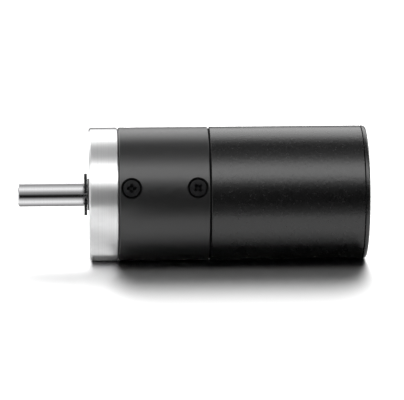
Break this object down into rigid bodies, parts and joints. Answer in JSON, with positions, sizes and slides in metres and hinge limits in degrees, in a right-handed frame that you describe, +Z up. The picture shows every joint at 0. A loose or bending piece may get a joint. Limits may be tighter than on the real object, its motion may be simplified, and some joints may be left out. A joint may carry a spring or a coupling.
{
  "type": "planetary gearbox",
  "caption": "Round in-line planetary reduction gearbox on its direct-current drive motor, with a plain output shaft held by a snap ring in an aluminium mounting flange.",
  "frame": {"origin": "centre of the front flange's mounting face, on the shaft axis", "axes": "+X along the shaft axis towards the motor's rear cap, so the output shaft points along -X; +Z up, with the lead grommet at the top of the rear cap"},
  "size_m": [0.1173, 0.045, 0.045],
  "materials": {
    "machined_aluminium": "satin",
    "black_anodised": "satin",
    "black_paint": "matte",
    "black_oxide": "satin",
    "ground_steel": "polished",
    "gear_steel": "satin",
    "bearing_steel": "polished",
    "black_diecast": "matte",
    "sintered_bronze": "matte",
    "core_steel": "satin",
    "enamelled_copper": "gloss",
    "bare_copper": "satin",
    "spring_steel": "satin",
    "ferrite": "matte",
    "carbon": "matte",
    "phenolic": "matte",
    "rubber": "matte"
  },
  "bodies": {
    "casing": {"front_flange": "machined_aluminium", "gearbox_housing": "black_anodised", "flange_screw_1": "black_oxide", "flange_screw_2": "black_oxide", "flange_screw_3": "black_oxide", "flange_screw_4": "black_oxide", "bell_screw_1": "black_oxide", "bell_screw_2": "black_oxide", "bell_screw_3": "black_oxide", "bell_screw_4": "black_oxide", "front_bearing_outer_race": "bearing_steel", "inner_bearing_outer_race": "bearing_steel", "ring_gear": "gear_steel", "thrust_plate": "spring_steel", "motor_front_bell": "black_diecast", "motor_bearing_outer_race": "bearing_steel", "motor_tube": "black_paint", "magnet_upper": "ferrite", "magnet_lower": "ferrite", "rear_cap": "black_paint", "rear_bush": "sintered_bronze", "lead_grommet": "rubber", "tie_bolt_1": "black_oxide", "tie_bolt_2": "black_oxide", "brush_holder": "phenolic", "brush_upper": "carbon", "brush_lower": "carbon", "brush_spring_upper": "spring_steel", "brush_spring_lower": "spring_steel"},
    "rotor": {"rotor_shaft": "ground_steel", "armature_core": "core_steel", "armature_winding": "enamelled_copper", "commutator": "bare_copper", "motor_pinion": "gear_steel", "motor_bearing_inner_race": "bearing_steel"},
    "motor_bearing_cage": {"motor_bearing_ball_cage": "bearing_steel"},
    "input_stage": {"input_carrier": "gear_steel", "output_sun_gear": "gear_steel", "input_planet_pin_1": "ground_steel", "input_planet_pin_2": "ground_steel", "input_planet_pin_3": "ground_steel"},
    "input_planet_1": {"input_planet_1": "gear_steel"},
    "input_planet_2": {"input_planet_2": "gear_steel"},
    "input_planet_3": {"input_planet_3": "gear_steel"},
    "output_stage": {"output_shaft": "ground_steel", "output_carrier": "gear_steel", "output_planet_pin_1": "ground_steel", "output_planet_pin_2": "ground_steel", "output_planet_pin_3": "ground_steel", "retaining_ring": "black_oxide", "thrust_washer": "spring_steel", "bearing_spacer": "ground_steel", "front_bearing_inner_race": "bearing_steel", "inner_bearing_inner_race": "bearing_steel"},
    "output_planet_1": {"output_planet_1": "gear_steel"},
    "output_planet_2": {"output_planet_2": "gear_steel"},
    "output_planet_3": {"output_planet_3": "gear_steel"},
    "front_bearing_cage": {"front_bearing_ball_cage": "bearing_steel"},
    "inner_bearing_cage": {"inner_bearing_ball_cage": "bearing_steel"}
  },
  "joints": [
    {"name": "rotor_spin", "type": "hinge", "parent": "casing", "child": "rotor", "pos_m": [0.061, 0, 0], "axis": [1, 0, 0], "continuous": true},
    {"name": "motor_cage_spin", "type": "hinge", "parent": "casing", "child": "motor_bearing_cage", "pos_m": [0.0412, 0, 0], "axis": [1, 0, 0], "continuous": true},
    {"name": "input_carrier_spin", "type": "hinge", "parent": "casing", "child": "input_stage", "pos_m": [0.0253, 0, 0], "axis": [1, 0, 0], "continuous": true},
    {"name": "output_spin", "type": "hinge", "parent": "casing", "child": "output_stage", "pos_m": [0.004, 0, 0], "axis": [1, 0, 0], "continuous": true},
    {"name": "front_cage_spin", "type": "hinge", "parent": "casing", "child": "front_bearing_cage", "pos_m": [0.00265, 0, 0], "axis": [1, 0, 0], "continuous": true},
    {"name": "inner_cage_spin", "type": "hinge", "parent": "casing", "child": "inner_bearing_cage", "pos_m": [0.00985, 0, 0], "axis": [1, 0, 0], "continuous": true},
    {"name": "input_planet_1_spin", "type": "hinge", "parent": "input_stage", "child": "input_planet_1", "pos_m": [0.02885, 0.0105, 0], "axis": [1, 0, 0], "continuous": true},
    {"name": "input_planet_2_spin", "type": "hinge", "parent": "input_stage", "child": "input_planet_2", "pos_m": [0.02885, -0.00525, 0.00909], "axis": [1, 0, 0], "continuous": true},
    {"name": "input_planet_3_spin", "type": "hinge", "parent": "input_stage", "child": "input_planet_3", "pos_m": [0.02885, -0.00525, -0.00909], "axis": [1, 0, 0], "continuous": true},
    {"name": "output_planet_1_spin", "type": "hinge", "parent": "output_stage", "child": "output_planet_1", "pos_m": [0.0209, 0.0105, 0], "axis": [1, 0, 0], "continuous": true},
    {"name": "output_planet_2_spin", "type": "hinge", "parent": "output_stage", "child": "output_planet_2", "pos_m": [0.0209, -0.00525, 0.00909], "axis": [1, 0, 0], "continuous": true},
    {"name": "output_planet_3_spin", "type": "hinge", "parent": "output_stage", "child": "output_planet_3", "pos_m": [0.0209, -0.00525, -0.00909], "axis": [1, 0, 0], "continuous": true}
  ],
  "couplings": [
    {"joint": "motor_cage_spin", "follows": "rotor_spin", "ratio": 0.37378},
    {"joint": "input_carrier_spin", "follows": "rotor_spin", "ratio": 0.2},
    {"joint": "output_spin", "follows": "rotor_spin", "ratio": 0.04},
    {"joint": "front_cage_spin", "follows": "rotor_spin", "ratio": 0.016451},
    {"joint": "inner_cage_spin", "follows": "rotor_spin", "ratio": 0.016451},
    {"joint": "input_planet_1_spin", "follows": "rotor_spin", "ratio": -0.53333},
    {"joint": "input_planet_2_spin", "follows": "rotor_spin", "ratio": -0.53333},
    {"joint": "input_planet_3_spin", "follows": "rotor_spin", "ratio": -0.53333},
    {"joint": "output_planet_1_spin", "follows": "rotor_spin", "ratio": -0.10667},
    {"joint": "output_planet_2_spin", "follows": "rotor_spin", "ratio": -0.10667},
    {"joint": "output_planet_3_spin", "follows": "rotor_spin", "ratio": -0.10667}
  ]
}
